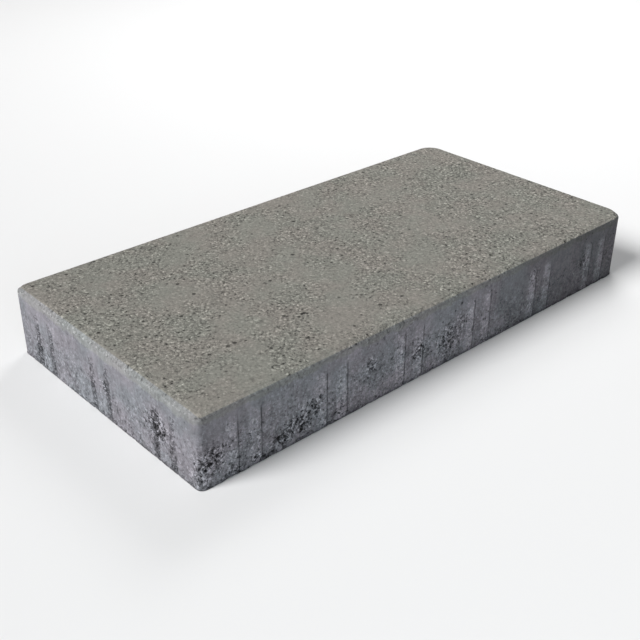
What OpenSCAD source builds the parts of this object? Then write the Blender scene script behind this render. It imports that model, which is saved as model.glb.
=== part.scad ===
// Pressed concrete paving slab, cast in one piece: a long flat block with a bevelled top arris,
// upright corners rounded in plan, and slim upright spacer ribs in pairs round its four sides.
// Millimetres, +Z up. The long side lies along X, and the origin is the middle of the underside.

/* [Slab] */
// Length of the slab between its two end faces
slab_length = 600; // [400:10:900]
// Width of the slab between its two long side faces
slab_width = 300; // [200:10:500]
// Thickness, from the underside to the walking face
slab_thickness = 75; // [40:1:120]

/* [Edges] */
// Plan radius of the two upright corners at the -X end
left_corner_r = 7; // [5:0.5:25]
// Plan radius of the two upright corners at the +X end
right_corner_r = 18; // [5:0.5:25]
// Bevel of the arris round the walking face, the same down and in
top_bevel = 4; // [1:0.5:4.5]

/* [Spacer ribs] */
// Width of one rib where it leaves the side face
rib_width = 7; // [3:0.5:8]
// How far a rib stands out of the side face
rib_height = 0.8; // [0.5:0.1:1.4]
// Distance between the two ribs of a pair, centre to centre
rib_gap = 25; // [14:1:30]
// Distance from one pair of ribs to the next, centre to centre
pair_pitch = 100; // [90:5:130]
// Plain band that is left between the top of the ribs and the walking face
rib_top_gap = 14; // [6:1:30]

/* [Hidden] */
$fn = 96;
slab_colour = [0.48, 0.48, 0.46];
// A rib is the part of an upright round bar that shows outside the face
rib_bar_r = (rib_width * rib_width / 4 + rib_height * rib_height) / (2 * rib_height);
rib_length = slab_thickness - rib_top_gap;

// Outline of the slab's section from its middle out to one face, with the bevel at the top
module half_section(reach) {
    polygon([
        [0, 0],
        [reach, 0],
        [reach, slab_thickness - top_bevel],
        [reach - top_bevel, slab_thickness],
        [0, slab_thickness]
    ]);
}

// Half section drawn out square to itself, equally to both sides of the middle
module half_block(reach, run) {
    rotate([90, 0, 0])
        linear_extrude(run, center = true)
            half_section(reach);
}

// The end of the slab that faces +X, out to its end face and between its two rounded corners
module slab_end(corner_r) {
    half_block(slab_length / 2, slab_width - 2 * corner_r);
    for (side = [-1, 1])
        translate([slab_length / 2 - corner_r, side * (slab_width / 2 - corner_r), 0])
            rotate_extrude()
                half_section(corner_r);
}

// The run of the slab between its ends, out to both long side faces
module slab_middle() {
    run = slab_length - left_corner_r - right_corner_r;
    for (turn = [90, -90])
        translate([(left_corner_r - right_corner_r) / 2, 0, 0])
            rotate([0, 0, turn])
                half_block(slab_width / 2, run);
}

// All the ribs of the face that looks along +X, at this distance from the middle
module face_ribs(face_distance, face_length) {
    pairs = floor(face_length / pair_pitch);
    for (pair = [0 : pairs - 1], rib = [-1, 1])
        translate([
            face_distance + rib_height - rib_bar_r,
            (pair - (pairs - 1) / 2) * pair_pitch + rib * rib_gap / 2,
            0
        ])
            cylinder(h = rib_length, r = rib_bar_r);
}

module paving_slab() {
    color(slab_colour)
        union() {
            slab_end(right_corner_r);
            mirror([1, 0, 0]) slab_end(left_corner_r);
            slab_middle();
            for (turn = [0, 180])
                rotate([0, 0, turn]) face_ribs(slab_length / 2, slab_width);
            for (turn = [90, 270])
                rotate([0, 0, turn]) face_ribs(slab_width / 2, slab_length);
        }
}

paving_slab();
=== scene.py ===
"""Looks of a pressed concrete paving slab, with a pale floor, soft light and a camera."""

import math

import bpy
import numpy as np
from mathutils import Euler, Matrix, Vector


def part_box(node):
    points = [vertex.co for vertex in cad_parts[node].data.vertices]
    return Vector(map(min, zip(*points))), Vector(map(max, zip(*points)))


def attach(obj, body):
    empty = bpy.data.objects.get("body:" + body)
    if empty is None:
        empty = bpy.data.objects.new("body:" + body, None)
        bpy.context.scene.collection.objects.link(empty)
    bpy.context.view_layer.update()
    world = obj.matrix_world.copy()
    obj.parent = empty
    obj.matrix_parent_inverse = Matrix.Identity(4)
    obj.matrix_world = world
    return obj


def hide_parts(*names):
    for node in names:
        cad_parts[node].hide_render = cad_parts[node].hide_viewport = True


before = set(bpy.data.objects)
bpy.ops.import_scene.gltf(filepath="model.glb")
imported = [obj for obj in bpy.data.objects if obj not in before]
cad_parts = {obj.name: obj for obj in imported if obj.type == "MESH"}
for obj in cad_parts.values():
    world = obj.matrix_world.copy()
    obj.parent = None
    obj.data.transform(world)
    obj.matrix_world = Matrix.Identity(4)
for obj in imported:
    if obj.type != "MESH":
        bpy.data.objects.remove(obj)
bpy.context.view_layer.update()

MM = 0.001

# The slab, in metres. Its outline comes from model.glb, and what that doesn't say is stated here.
NODE = "paving_slab"
HIGH = Vector(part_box(NODE)[1])
RIB_HEIGHT = 0.8 * MM
RIB_WIDTH = 7 * MM
RIB_GAP = 25 * MM
PAIR_PITCH = 100 * MM
RIB_TOP_GAP = 14 * MM
LEFT_CORNER_R = 7 * MM
RIGHT_CORNER_R = 18 * MM
ARRIS = 4 * MM
ARRIS_SOFT = 0.5 * MM
HALF_LENGTH = HIGH.x - RIB_HEIGHT
HALF_WIDTH = HIGH.y - RIB_HEIGHT
THICKNESS = HIGH.z

# The grid of the skin: finest on the sides, every second line on the walking face, every fourth underneath.
# The crowding of its lines is added up over many places along a face.
SIDE_STEP = 1.7 * MM
RIB_STEP = 1.1 * MM
RIB_REACH = 5.5 * MM
ROW_STEP = 1.5 * MM
TOP_EVERY = 2
UNDER_EVERY = 4
COUNTING_PLACES = 6001

# The named inputs of the relief
RELIEF_SIZES = {
    "Rib height": RIB_HEIGHT,
    "Wave depth": 0.3 * MM,
    "Grain depth": 0.45 * MM,
    "Drag depth": 0.3 * MM,
    "Void depth": 2.2 * MM,
    "Foot depth": 0.7 * MM,
    "Edge wear": 1.8 * MM,
}

# Cloudy patterns that the marks follow: the size of their lumps in millimetres, how many finer levels they
# have, how strong those are, and how far along the pattern they are taken from, so that no two look alike
PATTERNS = {
    "patch rims": (9, 3, 0.6, 2.3),
    "broken ribs": (8, 3, 0.6, 0.3),
    "patchy streaks": (12, 3, 0.6, 0.6),
    "ragged streaks": (5, 2, 0.6, 0.8),
    "loose mix": (5.5, 3, 0.6, 3.1),
    "fine loose mix": (2.8, 3, 0.6, 3.1),
    "rib starts": (30, 2, 0.5, 0),
    "waves": (90, 2, 0.5, 0),
    "skin grain": (3.4, 3, 0.6, 0),
    "drag relief": (3, 2, 0.6, 0.7),
    "drag tone": (4, 2, 0.6, 0.7),
    "chips": (8, 3, 0.65, 1.1),
    "rubbing": (11, 3, 0.6, 1.7),
    "tints": (45, 3, 0.6, 0.9),
    "facing border": (22, 3, 0.6, 0),
    "sandy areas": (60, 3, 0.6, 1.3),
    "sand": (3.2, 3, 0.7, 0.5),
    "lumps": (9, 3, 0.6, 0.33),
    "clouds": (30, 3, 0.6, 0.73),
    "patchy foot shade": (6, 3, 0.6, 2.9),
}
# Blots are where a pattern rises past a rim: how high the rim is, and how high the blot is full
BLOTS = {
    "broken ribs": (0.42, 0.62),
    "patchy streaks": (0.30, 0.52),
    "chips": (0.48, 0.68),
    "rubbing": (0.45, 0.75),
    "tints": (0.35, 0.65),
    "sandy areas": (0.40, 0.57),
    "patchy foot shade": (0.3, 0.6),
}
# The mould's walls draw their marks out upright as the slab leaves it
DRAWN_OUT = (1, 1, 0.07)

# Where the sides are openest: x, y, z and reach of each patch, in millimetres, and how open it is
OPEN_PATCHES = [
    (-298, -148, 13, 14, 0.75),
    (-288, -150, 26, 20, 1.0),
    (-267, -150, 3, 13, 0.8),
    (-240, -150, 4, 12, 0.6),
    (-225, -150, 3, 13, 0.6),
    (-210, -150, 13, 13, 1.0),
    (-190, -150, 20, 19, 1.0),
    (-175, -150, 28, 14, 1.0),
    (-104, -150, 42, 12, 0.8),
    (-40, -150, 30, 14, 0.8),
    (3, -150, 26, 24, 0.8),
    (20, -150, 40, 14, 0.6),
    (136, -150, 52, 13, 0.7),
    (228, -150, 36, 16, 0.7),
    (-300, 114, 12, 24, 0.35),
    (-300, -8, 34, 10, 0.9),
    (-300, -90, 36, 21, 1.0),
]
# The share of a patch's reach over which it is fully open
PATCH_CORE = 0.3

# How far the top of a rib wanders up and down, and the length over which the rib fades in below it
RIB_TOP_WANDER = 12 * MM
RIB_FADE = 8 * MM

# Beside a rib: how far past its foot the mix tore, the groove there from its rim to its bottom, darkened as
# painted shade, how far from the rib's middle line the lighter band lies, and the band from its rim to where
# it is full. The band is partly laitance and partly a painted highlight on the rib's lit side.
TORN_PAST_FOOT = 0.3 * MM
GROOVE_AND_SHADE_LINE = (1.2 * MM, 0.3 * MM)
HIGHLIGHT_SMEAR_PLACE = 3.5 * MM
HIGHLIGHT_SMEAR_BAND = (8 * MM, 3 * MM)
# The share of each of a rib's marks that goes where the rib is broken, and of its groove and its painted
# shade on end faces
BREAKS = {"bar": 0.4, "more of the bar on end faces": 0.4, "groove and painted shade": 0.6, "smear and painted highlight": 0.5}
GROOVE_AND_SHADE_LESS_ON_ENDS = 0.6
# The worn streak along a rib: how ragged it is, from its rim to where it is full, and how strong it is
STREAK_RAGGED = 2.4
STREAK_BAND = (-1.8, 0.4)
STREAK = {"long faces": 0.15, "more on end faces": 0.85, "anywhere": 0.5, "patchy": 0.6}

# How loosely the mix is packed, where 0 is closed and the most is what still holds together
LOOSE = {"anywhere": 0.02, "patch": 0.8, "low": 0.12, "foot": 0.5, "streak": 0.5, "most": 0.8}
LOOSE_FINE = {"anywhere": 0.08, "streak": 0.4}
# Which part of a cloudy pattern is a gap: closed mix, how much more loose mix, and how soft the gap's rim is
GAPS = {"closed": 0.26, "loose": 0.24}
GAP_RIMS = {"loose mix": 0.06, "fine loose mix": 0.04}

# Round air voids: how far apart they may lie, their radius and how far along the pattern they are taken
# from, then how many of the places hold one. Open patches have more of the large ones.
LARGE_VOID = (13 * MM, 3 * MM, 0.4)
LARGE_VOIDS = {"anywhere": 0.06, "patch": 0.5}
SPECK = (9 * MM, 2 * MM, 0.8)
SPECKS = 0.3
# The size of a void as a share of that radius, and the share of its size over which it is at its deepest
VOID_SIZE = {"smallest": 0.55, "spread": 0.8}
VOID_BOTTOM = 0.45
VOID_STEP = 0.05

# The finer facing concrete shows down to about this depth, give or take half the swing, and blends so far
# above and below its border
FACING_DEPTH = 10 * MM
FACING_SWING = 14 * MM
FACING_ABOVE = 2 * MM
FACING_BELOW = 1 * MM

# On the long sides the walking face's colour runs over this much of the arris, with a border that soft
FACE_OVER_ARRIS = 0.6 * ARRIS
FACE_BORDER = 0.1 * ARRIS

# Where things set in along the slab, across it or up it, and where they are in full
LOOSE_LOW = (0.75 * THICKNESS, 0.2 * THICKNESS)
LOOSE_FOOT = (9 * MM, 0.0)
CHIPPED = (7 * MM, 0.0)
WORN_TOP = (THICKNESS - 2 * ARRIS, THICKNESS - ARRIS)
# A painted highlight along the arris of the long sides
PAINTED_LIP_HIGHLIGHT = (THICKNESS - 0.1 * ARRIS, THICKNESS - 0.25 * ARRIS)
BELOW_ARRIS = (THICKNESS - ARRIS, THICKNESS - 1.4 * ARRIS)
SANDY_LOW = (0.8 * THICKNESS, 0.3 * THICKNESS)
# Painted shade along the foot
FOOT_SHADE_BAND = (3 * MM, 0.5 * MM)
# Painted shade on the sides towards the +x end
PAINTED_SHADE_ALONG = (-40 * MM, 250 * MM)
COARSE_END = (-0.2 * HALF_LENGTH, HALF_LENGTH)
# Painted shade across the end faces, towards one corner; the long sides are darker high up near the -x end
END_SHADE_ACROSS = (0.0, -110 * MM)
DARKER_ALONG = (-220 * MM, -290 * MM)
DARKER_UP = (20 * MM, 45 * MM)
PAINTED_SHADE_LESS_ON_ENDS = 0.8

# How squarely the skin has to face sideways or down, from where it starts to count to where it does in full
UPRIGHT = (0.5, 0.9)
SQUARE_ON = (0.9, 0.98)
OFF_THE_TOP = (0.0, 0.4)
TURNED_TO_END = (0.3, 0.6)
OFF_THE_FLOOR = (-0.98, -0.6)

# How rough the skin is in each place, and how deep the wear goes on the lower and on the upper arris
ROUGH = {"side": 0.7, "patch": 1.6, "top": 0.3, "anywhere": 0.1}
CHIP_DEPTH = 1.3
RUB_DEPTH = 0.45

# Two tints of each grey: cold in the core, neutral in the facing and on the arris, warm on the walking face
CORE_TINTS = (0.222, 0.213, 0.236, 1), (0.200, 0.209, 0.228, 1)
FACING_TINTS = (0.250, 0.247, 0.249, 1), (0.236, 0.247, 0.245, 1)
FACE_TINTS = (0.227, 0.213, 0.190, 1), (0.213, 0.212, 0.187, 1)

# Sand grains: how far apart they lie, how far along the pattern they are taken from, how far from a grain's
# middle the gap round it starts and is in full, and how much of a gap there is on average
GRAIN_SPACING = 2.1 * MM
GRAIN_SHIFT = 0.15
GRAIN_GAP = (0.8 * MM, 1.5 * MM)
MEAN_GAP = 0.3
# Which part of the sand's pattern is a pale fleck, a dark fleck or a crumb, and how much a streak crumbles
PALE_FLECK = (0.58, 0.66)
DARK_FLECK = (0.42, 0.33)
CRUMB = (0.54, 0.66)
STREAK_CRUMBS = 0.5
# Grains whose own number is past this are pale grit. There is more of it in loose and in smeared places.
PALE_GRIT = {"past": 0.91, "loose": -0.25, "smear and painted highlight": -0.12, "step": 0.03}

# How boldly the sand shows, on the walking face first and then on the sides
BOLD_TOP = {"anywhere": 0.44, "sandy": 0.68, "coarse end": 0.24}
BOLD_SIDE = {
    "anywhere": 0.3, "low": 0.5, "sandy": 0.25, "less on end faces": 0.25, "less at the far end": 0.35,
    "patch": 1.2, "smear and painted highlight": 0.5, "arris": 0.35,
}

# What each thing adds to the concrete's tone, which is 1 where nothing marks it
ADDS = {
    # The grain gap's darkening is painted shade between the grains
    "sand": 1.4, "pale fleck": 0.44, "dark fleck": -0.5, "own grain": 0.45, "grain gap": -0.15,
    "lumps": 0.5, "lumps low down": 0.7, "clouds": 0.6, "drag": 0.45,
    "pale grit": 0.6, "crumbs": 0.5, "smear and painted highlight": 0.35, "smear at the far end": 0.45, "streak": -0.06,
}

# The share of the tone that each mark takes away. A mark below 0 leaves the concrete paler.
TAKES = {
    # Voids, pits and gaps take their share as painted shade inside them
    "speck": 0.75, "pit": 0.55, "pit in a patch": 0.3, "fine pit": 0.5, "fine pit in a patch": 0.2,
    "large void": 0.7, "far end": 0.5, "facing": 0.19, "end_shade_and_darkening": 0.1, "painted arris highlight": -0.28, "foot": 0.38,
    "groove and painted shade": 0.7,
}
DARKEST = 0.05

# How far each thing rises, as a share of the bump's distance
RISES = {
    "sand": 0.55, "own grain": 0.2, "grain gap": -0.2, "lumps": 0.6, "speck": -0.8, "pit": -0.5,
    "fine pit": -0.5, "large void": -0.5, "pale grit": 0.2,
}
BUMP_DISTANCE = 1 * MM
CONCRETE_ROUGHNESS = 0.92
CONCRETE_GLOSS = 0.3

FLOOR_HALF = 15.0
FLOOR_UNDER = 0.2 * MM
FLOOR_GREY = (0.8, 0.8, 0.8, 1)
FLOOR_ROUGHNESS = 0.9
BACKDROP_SIDES = 96
BACKDROP_FOOT = -0.1
BACKDROP_GLOW = 0.74
WHITE = (1, 1, 1, 1)
BLACK = (0, 0, 0, 1)


class Value:
    """A number or a vector on its way through a node tree. Sums written with it add the nodes for them."""

    def __init__(self, tree, socket):
        self.tree = tree
        self.socket = socket

    def __add__(self, other):
        return self.tree.math("ADD", self, other)

    def __sub__(self, other):
        return self.tree.math("SUBTRACT", self, other)

    def __rsub__(self, other):
        return self.tree.math("SUBTRACT", other, self)

    def __mul__(self, other):
        return self.tree.math("MULTIPLY", self, other)

    def __truediv__(self, other):
        return self.tree.math("DIVIDE", self, other)

    __radd__ = __add__
    __rmul__ = __mul__


class Tree:
    """Adds nodes to a shader or geometry node tree. Both kinds take the same sums and the same textures."""

    def __init__(self, nodes_of):
        self.nodes = nodes_of.nodes
        self.links = nodes_of.links

    def node(self, kind, settings=None, sockets=None, out=0):
        """One node of any type: its settings, then values or links into its sockets, by name or place."""
        made = self.nodes.new(kind)
        for name, setting in (settings or {}).items():
            setattr(made, name, setting)
        for name, given in (sockets or {}).items():
            if isinstance(given, Value):
                self.links.new(given.socket, made.inputs[name])
            else:
                made.inputs[name].default_value = given
        return Value(self, made.outputs[out]) if len(made.outputs) else made

    def math(self, operation, *given):
        return self.node("ShaderNodeMath", {"operation": operation}, dict(enumerate(given)))

    def vector(self, operation, *given, out=0):
        return self.node("ShaderNodeVectorMath", {"operation": operation}, dict(enumerate(given)), out)

    def smooth(self, given, start, end):
        """0 before start and 1 after end, with a soft step between; start may be the larger of the two."""
        sockets = {"Value": given, "From Min": start, "From Max": end}
        return self.node("ShaderNodeMapRange", {"interpolation_type": "SMOOTHSTEP"}, sockets)

    def larger(self, one, other):
        return self.math("MAXIMUM", one, other)

    def smaller(self, one, other):
        return self.math("MINIMUM", one, other)

    def size_of(self, given):
        return self.math("ABSOLUTE", given)

    def parts(self, place):
        split = self.node("ShaderNodeSeparateXYZ", None, {0: place}).socket.node
        return tuple(Value(self, split.outputs[axis]) for axis in "XYZ")

    def kept(self, name, out="Fac"):
        """What the relief stored on the skin under that name."""
        return self.node("ShaderNodeAttribute", {"attribute_name": name}, out=out)

    def shifted(self, place, shift):
        return self.vector("ADD", place, (shift, 2 * shift, 3 * shift)) if shift else place

    def noise(self, place, name, stretch=None):
        """One of the cloudy patterns, with values round 0.5."""
        size, levels, rough, shift = PATTERNS[name]
        if stretch:
            place = self.vector("MULTIPLY", place, stretch)
        place = self.shifted(place, shift)
        sockets = {"Vector": place, "Scale": 1 / (size * MM), "Detail": levels, "Roughness": rough}
        return self.node("ShaderNodeTexNoise", None, sockets)

    def swing(self, place, name, stretch=None):
        """One of the cloudy patterns, as a swing to both sides of 0."""
        return self.noise(place, name, stretch) - 0.5

    def blots(self, place, name):
        """Blots in one of the cloudy patterns: 0 outside them, and 1 where they are full."""
        return self.smooth(self.noise(place, name), *BLOTS[name])

    def cells(self, place, size, shift=0.0):
        """Scattered points: the distance to the nearest in metres, and three random numbers that it owns."""
        place = self.shifted(place, shift)
        near = self.node("ShaderNodeTexVoronoi", None, {"Vector": place, "Scale": 1 / size}, "Distance")
        own = Value(self, near.socket.node.outputs["Color"])
        return near * size, self.parts(own)

    def colour(self, factor, one, other, blend="MIX"):
        settings = {"data_type": "RGBA", "blend_type": blend}
        mixed = self.node("ShaderNodeMix", settings, {0: factor, 6: one, 7: other})
        return Value(self, mixed.socket.node.outputs[2])


def graded_lines(half, ribs, every):
    """Places from -half to half for the grid's lines, closest at the ribs, in whole coarse cells."""
    fine = np.linspace(-half, half, COUNTING_PLACES)
    crowding = np.full(len(fine), 1 / SIDE_STEP)
    for rib in ribs:
        crowding[np.abs(fine - rib) < RIB_REACH] = 1 / RIB_STEP
    count = np.concatenate([[0], np.cumsum((crowding[1:] + crowding[:-1]) / 2 * np.diff(fine))])
    cells = every * round(count[-1] / every)
    return np.interp(np.linspace(0, count[-1], cells + 1), count, fine)


def pairs_along(half):
    """How many pairs of ribs a side face of that half length has."""
    return round(2 * half / PAIR_PITCH)


def rib_places(half):
    """Where the ribs stand along a side face of that half length."""
    pairs = pairs_along(half)
    middles = [(pair - (pairs - 1) / 2) * PAIR_PITCH for pair in range(pairs)]
    return [middle + side * RIB_GAP / 2 for middle in middles for side in (-1, 1)]


def round_corners(x, y, inset):
    """Moves points of the slab's rectangle onto its rounded outline, that far in from the faces."""
    for end, radius in ((-1, LEFT_CORNER_R), (1, RIGHT_CORNER_R)):
        past_x = end * x - (HALF_LENGTH - radius)
        past_y = np.abs(y) - (HALF_WIDTH - radius)
        in_corner = (past_x > 0) & (past_y > 0)
        reach = np.maximum(past_x, past_y)[in_corner]
        draw_in = reach / np.hypot(past_x[in_corner], past_y[in_corner])
        x[in_corner] = end * (HALF_LENGTH - radius + past_x[in_corner] * draw_in)
        y[in_corner] = np.sign(y[in_corner]) * (HALF_WIDTH - radius + past_y[in_corner] * draw_in)
    shrink_x = (HALF_LENGTH - inset) / HALF_LENGTH
    shrink_y = (HALF_WIDTH - inset) / HALF_WIDTH
    return x * shrink_x, y * shrink_y


def skin_levels():
    """The height of each ring of the sides, from the floor to the walking face, and how far in it lies."""
    wall = THICKNESS - ARRIS - ARRIS_SOFT
    levels = [(z, 0.0) for z in np.linspace(0, wall, round(wall / ROW_STEP) + 1)]
    for inset in (ARRIS_SOFT, ARRIS / 2, ARRIS - ARRIS_SOFT):
        levels.append((THICKNESS - ARRIS + inset, inset))
    levels.append((THICKNESS, ARRIS + ARRIS_SOFT))
    return levels


def cell_rim(i, j, every):
    """The grid places round one cell of a level face, in turn. The cell is that many lines wide."""
    steps = range(every)
    rim = [(i + k, j) for k in steps]
    rim += [(i + every, j + k) for k in steps]
    rim += [(i + every - k, j + every) for k in steps]
    rim += [(i, j + every - k) for k in steps]
    return rim


def blank_skin():
    """The slab's plain skin as one closed mesh, fine enough for its relief."""
    x_lines = graded_lines(HALF_LENGTH, rib_places(HALF_LENGTH), UNDER_EVERY)
    y_lines = graded_lines(HALF_WIDTH, rib_places(HALF_WIDTH), UNDER_EVERY)
    columns, rows = len(x_lines) - 1, len(y_lines) - 1
    around = [(i, 0) for i in range(columns)]
    around += [(columns, j) for j in range(rows)]
    around += [(columns - i, rows) for i in range(columns)]
    around += [(0, rows - j) for j in range(rows)]
    turn = len(around)
    levels = skin_levels()

    points, faces = [], []
    ring_x = x_lines[[i for i, _ in around]]
    ring_y = y_lines[[j for _, j in around]]
    for z, inset in levels:
        x, y = round_corners(ring_x.copy(), ring_y.copy(), inset)
        points += zip(x, y, [z] * turn)
    for low in range(0, (len(levels) - 1) * turn, turn):
        high = low + turn
        for k in range(turn):
            after = (k + 1) % turn
            faces.append((low + k, low + after, high + after, high + k))
    smooth = [True] * len(faces)

    for every, level, up in ((TOP_EVERY, len(levels) - 1, True), (UNDER_EVERY, 0, False)):
        z, inset = levels[level]
        index = {place: level * turn + k for k, place in enumerate(around)}
        inner = [(i, j) for i in range(every, columns, every) for j in range(every, rows, every)]
        x, y = round_corners(x_lines[[i for i, _ in inner]], y_lines[[j for _, j in inner]], inset)
        index.update({place: len(points) + k for k, place in enumerate(inner)})
        points += zip(x, y, [z] * len(x))
        for i in range(0, columns, every):
            for j in range(0, rows, every):
                face = [index[place] for place in cell_rim(i, j, every) if place in index]
                faces.append(face if up else face[::-1])
                smooth.append(up)
    mesh = bpy.data.meshes.new("slab_skin")
    mesh.from_pydata(points, [], faces)
    mesh.polygons.foreach_set("use_smooth", smooth)
    return mesh


def openness(tree, place):
    """How open the pressed surface is, 0 to 1: the patches where the mix didn't close against the mould."""
    ragged = tree.swing(place, "patch rims")
    most = 0.0
    for x, y, z, reach, strength in OPEN_PATCHES:
        away = tree.vector("DISTANCE", place, (x * MM, y * MM, z * MM), out="Value")
        patch = tree.smooth(away + ragged * (reach * MM), reach * MM, PATCH_CORE * reach * MM) * strength
        most = tree.larger(patch, most)
    return most


def rib_across(tree, along, half):
    """How far a place on a side face of that half length is past the middle line of its nearest rib."""
    shift = 0.5 if pairs_along(half) % 2 else 0.0
    from_pair = (tree.math("FRACT", along / PAIR_PITCH + shift) - 0.5) * PAIR_PITCH
    return (tree.size_of(from_pair) - RIB_GAP / 2) * tree.math("SIGN", from_pair)


def rib_marks(tree, place, end_face, runs):
    """What a spacer rib leaves on a side: its raised bar, the groove where the mix tore along one foot, which
    the material darkens as painted shade, laitance spread over it on the long faces, which the material
    lightens partly as a painted highlight on the rib's lit side, and the worn, pitted streak that it mostly
    is on the end faces. Each is 0 where runs is 0, and about 1 at its strongest.
    """
    x, y, _ = tree.parts(place)
    on_long = rib_across(tree, x, HALF_LENGTH)
    across = on_long + (rib_across(tree, y, HALF_WIDTH) - on_long) * end_face
    broken = tree.blots(place, "broken ribs")
    arch = 1 - tree.math("POWER", across / (RIB_WIDTH / 2), 2)
    raised = tree.larger(arch, 0.0) * runs
    raised = raised * (1 - broken * (BREAKS["bar"] + end_face * BREAKS["more of the bar on end faces"]))

    from_foot = tree.size_of(across - (RIB_WIDTH / 2 + TORN_PAST_FOOT))
    groove_and_painted_shade = tree.smooth(from_foot, *GROOVE_AND_SHADE_LINE) * runs
    groove_and_painted_shade = groove_and_painted_shade * (1 - end_face * GROOVE_AND_SHADE_LESS_ON_ENDS) * (1 - broken * BREAKS["groove and painted shade"])
    from_smear = tree.size_of(across + HIGHLIGHT_SMEAR_PLACE)
    smear_and_painted_highlight = tree.smooth(from_smear, *HIGHLIGHT_SMEAR_BAND) * runs * (1 - end_face) * (1 - broken * BREAKS["smear and painted highlight"])

    patchy = tree.blots(place, "patchy streaks")
    ragged = tree.swing(place, "ragged streaks") * STREAK_RAGGED
    streak = tree.smooth(arch + ragged, *STREAK_BAND) * runs
    streak = streak * (STREAK["long faces"] + end_face * STREAK["more on end faces"])
    streak = streak * (STREAK["anywhere"] + patchy * STREAK["patchy"])
    return raised, groove_and_painted_shade, smear_and_painted_highlight, streak


def voids(tree, place, kind, share):
    """Round air voids that the surface cuts open, 1 at their bottoms. share is how many places hold one."""
    spacing, radius, shift = kind
    away, own = tree.cells(place, spacing, shift)
    size = radius * (VOID_SIZE["smallest"] + own[1] * VOID_SIZE["spread"])
    here = tree.smooth(own[0], share, share - VOID_STEP)
    return tree.smooth(away / size, 1.0, VOID_BOTTOM) * here


def large_voids(tree, place, patch):
    return voids(tree, place, LARGE_VOID, patch * LARGE_VOIDS["patch"] + LARGE_VOIDS["anywhere"])


def crumbled(tree, place, loose, name="loose mix"):
    """Gaps between the lumps where the mix stayed loose, 1 at their bottoms. loose is how loose it is."""
    rim = GAPS["closed"] + loose * GAPS["loose"]
    return tree.smooth(tree.noise(place, name), rim, rim - GAP_RIMS[name])


def relief_tree(material):
    """Presses the slab's relief into its plain skin: ribs, drag marks, open patches, voids, worn arrises."""
    group = bpy.data.node_groups.new("slab_relief", "GeometryNodeTree")
    group.interface.new_socket("Skin", in_out="INPUT", socket_type="NodeSocketGeometry")
    for name in RELIEF_SIZES:
        group.interface.new_socket(name, in_out="INPUT", socket_type="NodeSocketFloat")
    group.interface.new_socket("Skin", in_out="OUTPUT", socket_type="NodeSocketGeometry")
    tree = Tree(group)
    given = tree.node("NodeGroupInput").socket.node
    size = {name: Value(tree, given.outputs[name]) for name in RELIEF_SIZES}
    place = tree.node("GeometryNodeInputPosition")
    outwards = tree.node("GeometryNodeInputNormal")
    z = tree.parts(place)[2]
    out_x, out_y, out_z = tree.parts(outwards)
    side = 1 - tree.size_of(out_z)
    top = tree.larger(out_z, 0.0)
    upright = tree.smooth(side, *UPRIGHT)
    on_long = tree.smooth(tree.size_of(out_y), *SQUARE_ON)
    on_end = tree.smooth(tree.size_of(out_x), *SQUARE_ON)

    # Ribs start below the facing, fade in, and are broken where the mix tore as the mould was drawn off
    rib_start = THICKNESS - RIB_TOP_GAP + tree.swing(place, "rib starts") * RIB_TOP_WANDER
    rib_runs = tree.smooth(z, rib_start, rib_start - RIB_FADE) * tree.smaller(on_long + on_end, 1.0)
    raised, groove_and_painted_shade, _, streak = rib_marks(tree, place, on_end, rib_runs)

    # The mix is loosest in the open patches, low down and in the streaks
    patch = openness(tree, place)
    low = tree.smooth(z, *LOOSE_LOW)
    foot = tree.smooth(z, *LOOSE_FOOT)
    loose = LOOSE["anywhere"] + patch * LOOSE["patch"] + low * LOOSE["low"]
    loose = tree.smaller(loose + foot * LOOSE["foot"] + streak * LOOSE["streak"], LOOSE["most"])
    pit = tree.larger(crumbled(tree, place, loose), large_voids(tree, place, patch)) * upright

    depth = size["Wave depth"] * tree.noise(place, "waves") * side
    rough = side * ROUGH["side"] + patch * ROUGH["patch"] + top * ROUGH["top"] + ROUGH["anywhere"]
    depth = depth + size["Grain depth"] * tree.noise(place, "skin grain") * rough
    depth = depth + size["Drag depth"] * tree.noise(place, "drag relief", DRAWN_OUT) * side
    depth = depth + size["Void depth"] * pit + size["Foot depth"] * groove_and_painted_shade

    # The lower arris is chipped, and the upper one is rubbed
    chipped = tree.blots(place, "chips") * tree.smooth(z, *CHIPPED)
    depth = depth + size["Edge wear"] * chipped * side * CHIP_DEPTH
    near_arris = tree.smooth(z, *WORN_TOP) * tree.smooth(side, *OFF_THE_TOP)
    rub_wear_and_lip_highlight = tree.blots(place, "rubbing") * near_arris
    depth = depth + size["Edge wear"] * RUB_DEPTH * rub_wear_and_lip_highlight

    # The underside stays flat, and the skin keeps what the material needs to know
    lift = (raised * size["Rib height"] - depth) * tree.smooth(out_z, *OFF_THE_FLOOR)
    end_face = tree.smooth(tree.size_of(out_x), *TURNED_TO_END)
    kept = {
        "cast_place": place, "open_patch": patch, "rib_runs": rib_runs, "loose": loose * upright,
        "end_face": end_face,
    }
    skin = Value(tree, given.outputs["Skin"])
    for name, worth in kept.items():
        keep = {"data_type": "FLOAT_VECTOR" if worth is place else "FLOAT", "domain": "POINT"}
        stored = {"Geometry": skin, "Name": name, "Value": worth}
        skin = tree.node("GeometryNodeStoreNamedAttribute", keep, stored)
    moved = tree.node("ShaderNodeVectorMath", {"operation": "SCALE"}, {0: outwards, "Scale": lift})
    skin = tree.node("GeometryNodeSetPosition", None, {"Geometry": skin, "Offset": moved})
    skin = tree.node("GeometryNodeRealizeInstances", None, {"Geometry": skin})
    skin = tree.node("GeometryNodeSetMaterial", None, {"Geometry": skin, "Material": material})
    tree.node("NodeGroupOutput", None, {"Skin": skin})
    return group


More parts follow.
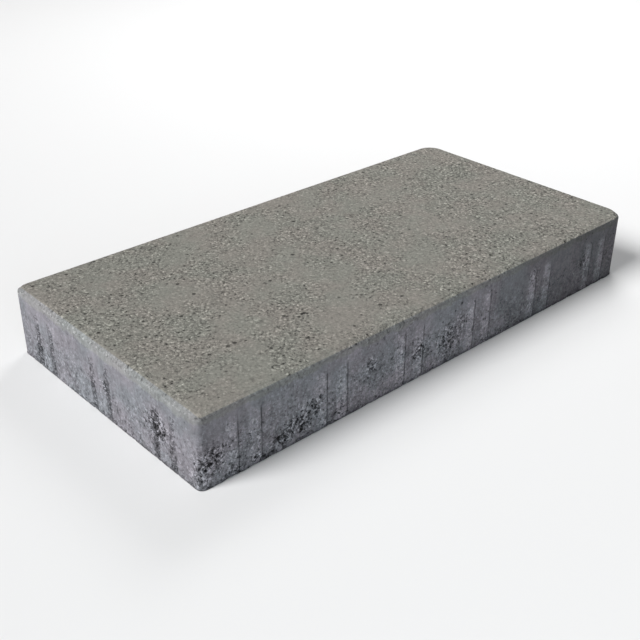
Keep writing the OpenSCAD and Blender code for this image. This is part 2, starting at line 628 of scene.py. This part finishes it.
def pressed_skin(material):
    """The finished skin: the plain one with its relief pressed in, as a plain mesh."""
    slab = bpy.data.objects.new("slab_concrete", blank_skin())
    bpy.context.scene.collection.objects.link(slab)
    group = relief_tree(material)
    relief = slab.modifiers.new("relief", "NODES")
    relief.node_group = group
    for item in group.interface.items_tree:
        if item.in_out == "INPUT" and item.name in RELIEF_SIZES:
            relief[item.identifier] = RELIEF_SIZES[item.name]
    seen = bpy.context.evaluated_depsgraph_get()
    pressed = bpy.data.meshes.new_from_object(
        slab.evaluated_get(seen), preserve_all_data_layers=True, depsgraph=seen
    )
    slab.modifiers.remove(relief)
    slab.data = pressed
    return slab


def darkened(tone, *marks):
    """That tone once each mark has taken its share of it. The marks are pairs of a mark and its share."""
    for mark, share in marks:
        tone = tone * (1 - mark * share)
    return tone


def sand_boldness(tree, x, low, far, sandy, patch, smear_and_painted_highlight, end_face, below_arris, on_side):
    """How boldly the sand shows: most where the surface is open, least where laitance closed it."""
    coarse_end = tree.smooth(x, *COARSE_END)
    top = BOLD_TOP["anywhere"] + sandy * BOLD_TOP["sandy"] + coarse_end * BOLD_TOP["coarse end"]
    side = BOLD_SIDE["anywhere"] + low * BOLD_SIDE["low"] + sandy * BOLD_SIDE["sandy"]
    side = side * (1 - end_face * BOLD_SIDE["less on end faces"])
    side = side * (1 - far * BOLD_SIDE["less at the far end"])
    side = side + patch * BOLD_SIDE["patch"] + smear_and_painted_highlight * BOLD_SIDE["smear and painted highlight"]
    side = side + (1 - below_arris) * BOLD_SIDE["arris"]
    return top + (side - top) * on_side


def concrete():
    """Grey pressed concrete: a fine olive-grey facing over a colder core, with sand, grit and voids."""
    material = bpy.data.materials.new("pressed_concrete")
    material.use_nodes = True
    material.node_tree.nodes.clear()
    tree = Tree(material.node_tree)
    place = tree.kept("cast_place", "Vector")
    x, y, z = tree.parts(place)
    patch, loose, end_face = tree.kept("open_patch"), tree.kept("loose"), tree.kept("end_face")
    long_face = 1 - end_face
    _, groove_and_painted_shade, smear_and_painted_highlight, streak = rib_marks(tree, place, end_face, tree.kept("rib_runs"))

    # On the long sides the walking face's colour runs over most of the arris, where a paler band is a painted
    # highlight along the edge
    edge = THICKNESS - long_face * FACE_OVER_ARRIS
    on_side = tree.smooth(z, edge, edge - FACE_BORDER)
    rub_wear_and_lip_highlight = tree.smooth(z, *PAINTED_LIP_HIGHLIGHT) * (1 - on_side)
    below_arris = tree.smooth(z, *BELOW_ARRIS)

    tint = tree.blots(place, "tints")
    border = THICKNESS - FACING_DEPTH + tree.swing(place, "facing border") * FACING_SWING
    facing = tree.smooth(z, border - FACING_BELOW, border + FACING_ABOVE)
    side_grey = tree.colour(facing, tree.colour(tint, *CORE_TINTS), tree.colour(tint, *FACING_TINTS))
    colour = tree.colour(on_side, tree.colour(tint, *FACE_TINTS), side_grey)

    # Painted shade: the long sides darken towards one end, and each end face towards one corner. The long
    # sides are also darker high up near the other end
    far = tree.smooth(x, *PAINTED_SHADE_ALONG) * on_side * (1 - end_face * PAINTED_SHADE_LESS_ON_ENDS)
    painted_end_shade = tree.smooth(y, *END_SHADE_ACROSS) * end_face
    long_darker_near_end = tree.smooth(x, *DARKER_ALONG) * tree.smooth(z, *DARKER_UP) * long_face
    end_shade_and_darkening = (painted_end_shade + long_darker_near_end) * on_side
    # Painted contact shade along the foot, in patches
    foot = tree.smooth(z, *FOOT_SHADE_BAND) * tree.blots(place, "patchy foot shade")

    sandy = tree.blots(place, "sandy areas")
    low = tree.smooth(z, *SANDY_LOW)
    bold = sand_boldness(tree, x, low, far, sandy, patch, smear_and_painted_highlight, end_face, below_arris, on_side)
    grain_away, grain_own = tree.cells(place, GRAIN_SPACING, GRAIN_SHIFT)
    gap = tree.smooth(grain_away, *GRAIN_GAP) - MEAN_GAP
    grains = tree.noise(place, "sand")
    flecks = tree.smooth(grains, *PALE_FLECK) * ADDS["pale fleck"]
    flecks = flecks + tree.smooth(grains, *DARK_FLECK) * ADDS["dark fleck"]
    sand = (grains - 0.5) * ADDS["sand"] + flecks
    crumbs = tree.smooth(grains, *CRUMB) * tree.smaller(patch + streak * STREAK_CRUMBS, 1.0)
    past = PALE_GRIT["past"] + loose * PALE_GRIT["loose"] + smear_and_painted_highlight * PALE_GRIT["smear and painted highlight"]
    pale_grit = tree.smooth(grain_own[1], past, past + PALE_GRIT["step"])
    lumps = tree.swing(place, "lumps")
    clouds = tree.swing(place, "clouds")
    drag = tree.swing(place, "drag tone", DRAWN_OUT)

    speck = voids(tree, place, SPECK, SPECKS)
    pit = crumbled(tree, place, loose) * below_arris
    fine_loose = loose + streak * LOOSE_FINE["streak"] + LOOSE_FINE["anywhere"]
    fine_pit = crumbled(tree, place, fine_loose, "fine loose mix") * below_arris
    large_void = large_voids(tree, place, patch) * below_arris

    # The dark gaps between the grains are painted shade
    tone = sand + (grain_own[0] - 0.5) * ADDS["own grain"] + gap * ADDS["grain gap"]
    tone = 1 + (tone + pale_grit * ADDS["pale grit"]) * bold
    clouded = lumps * (ADDS["lumps"] + low * ADDS["lumps low down"]) + clouds * ADDS["clouds"]
    tone = tone + (clouded + drag * ADDS["drag"]) * below_arris
    # The lighter band beside each rib is partly laitance and partly a painted highlight on the rib's lit
    # side, more so at the far end
    tone = tone + smear_and_painted_highlight * (ADDS["smear and painted highlight"] + far * ADDS["smear at the far end"])
    tone = tone + crumbs * ADDS["crumbs"] + streak * ADDS["streak"]
    tone = darkened(
        tone,
        # Painted shade inside the voids, pits and gaps
        (speck, TAKES["speck"]),
        (pit, TAKES["pit"] + patch * TAKES["pit in a patch"]),
        (fine_pit, TAKES["fine pit"] + patch * TAKES["fine pit in a patch"]),
        (large_void, TAKES["large void"]),
        # Painted shade towards the +x end
        (far, TAKES["far end"]),
        (facing * long_face * on_side, TAKES["facing"]),
        # Painted shade on the end faces, and the long sides darker high up near the -x end
        (end_shade_and_darkening, TAKES["end_shade_and_darkening"]),
        # Painted highlight along the arris of the long sides
        (rub_wear_and_lip_highlight, TAKES["painted arris highlight"]),
        # Painted shade along the foot
        (foot, TAKES["foot"]),
        # Painted shade in the groove beside each rib
        (groove_and_painted_shade, TAKES["groove and painted shade"]),
    )
    tone = tree.larger(tone, DARKEST)
    shade = tree.node("ShaderNodeCombineColor", None, {0: tone, 1: tone, 2: tone})
    colour = tree.colour(1.0, colour, shade, "MULTIPLY")

    height = sand * RISES["sand"] + grain_own[0] * RISES["own grain"] + gap * RISES["grain gap"]
    height = height * bold + lumps * on_side * RISES["lumps"] + pale_grit * RISES["pale grit"]
    height = height + pit * RISES["pit"] + fine_pit * RISES["fine pit"]
    height = height + large_void * RISES["large void"] + speck * RISES["speck"]
    bump = tree.node("ShaderNodeBump", None, {"Strength": 1.0, "Distance": BUMP_DISTANCE, "Height": height})
    skin = tree.node("ShaderNodeBsdfPrincipled", None, {
        "Base Color": colour, "Roughness": CONCRETE_ROUGHNESS, "Specular IOR Level": CONCRETE_GLOSS,
        "Normal": bump,
    })
    tree.node("ShaderNodeOutputMaterial", None, {"Surface": skin})
    return material


def plain_material(name, colour, roughness):
    material = bpy.data.materials.new(name)
    material.use_nodes = True
    finish = material.node_tree.nodes["Principled BSDF"]
    finish.inputs["Base Color"].default_value = colour
    finish.inputs["Roughness"].default_value = roughness
    return material


def placed(name, data):
    """A new object in the scene."""
    held = bpy.data.objects.new(name, data)
    bpy.context.scene.collection.objects.link(held)
    return held


def studio_floor():
    """A wide pale floor just under the slab."""
    half = FLOOR_HALF
    mesh = bpy.data.meshes.new("studio_floor")
    corners = [(x, y, -FLOOR_UNDER) for x, y in ((-half, -half), (half, -half), (half, half), (-half, half))]
    mesh.from_pydata(corners, [], [(0, 1, 2, 3)])
    mesh.materials.append(plain_material("pale_floor", FLOOR_GREY, FLOOR_ROUGHNESS))
    return placed("studio_floor", mesh)


def backdrop():
    """A white wall all round the floor's edge, there to be seen and not to light the slab."""
    mesh = bpy.data.meshes.new("backdrop")
    turns = np.linspace(0, 2 * math.pi, BACKDROP_SIDES, endpoint=False)
    foot = [(FLOOR_HALF * math.cos(turn), FLOOR_HALF * math.sin(turn)) for turn in turns]
    points = [(x, y, z) for z in (BACKDROP_FOOT, FLOOR_HALF) for x, y in foot]
    count = len(foot)
    after = [(k + 1) % count for k in range(count)]
    mesh.from_pydata(points, [], [(k, k + count, after[k] + count, after[k]) for k in range(count)])
    white = plain_material("white_backdrop", BLACK, 1.0)
    glow = white.node_tree.nodes["Principled BSDF"].inputs
    glow["Emission Color"].default_value = WHITE
    glow["Emission Strength"].default_value = BACKDROP_GLOW
    glow["Specular IOR Level"].default_value = 0
    mesh.materials.append(white)
    wall = placed("backdrop", mesh)
    wall.visible_diffuse = wall.visible_glossy = wall.visible_shadow = False
    return wall


def soft_sun(place, spread, power):
    """The main light, from far off in that direction and as wide as that many degrees of the sky."""
    lamp = bpy.data.lights.new("key", "SUN")
    lamp.angle = math.radians(spread)
    lamp.energy = power
    placed("key", lamp).rotation_euler = (-Vector(place)).to_track_quat("-Z", "Y").to_euler()


def soft_light(name, place, size, power, colour=(1, 1, 1)):
    """A square soft box at that place, aimed at the middle of the slab."""
    lamp = bpy.data.lights.new(name, "AREA")
    lamp.size = size
    lamp.energy = power
    lamp.color = colour
    held = placed(name, lamp)
    held.location = place
    held.rotation_euler = (-Vector(place)).to_track_quat("-Z", "Y").to_euler()


def dim_surround(strength):
    world = bpy.data.worlds.new("surround")
    world.use_nodes = True
    world.node_tree.nodes["Background"].inputs["Color"].default_value = WHITE
    world.node_tree.nodes["Background"].inputs["Strength"].default_value = strength
    bpy.context.scene.world = world


def camera():
    """Looks at the slab over its near left corner."""
    azimuth, elevation, roll = -42.36, 29.93, 0.26
    lens = bpy.data.cameras.new("camera")
    lens.lens = 56.34
    lens.sensor_width = 36
    held = placed("camera", lens)
    held.location = (-0.6604, -0.6894, 0.5345)
    level = Euler((math.radians(90 - elevation), 0, math.radians(azimuth))).to_matrix()
    held.rotation_euler = (level @ Matrix.Rotation(math.radians(roll), 3, "Z")).to_euler()
    bpy.context.scene.camera = held


camera()
slab = pressed_skin(concrete())
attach(slab, "root")
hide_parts(NODE)
studio_floor()
backdrop()
soft_sun((-6.5, 1.2, 5.8), spread=28, power=3.75)
soft_light("back", (1.2, 0.9, 1.3), size=0.8, power=13)
soft_light("fill", (-0.9, -1.6, 0.7), size=0.8, power=7, colour=(0.88, 0.95, 1))
dim_surround(0.1)
bpy.context.scene.view_settings.view_transform = "Standard"
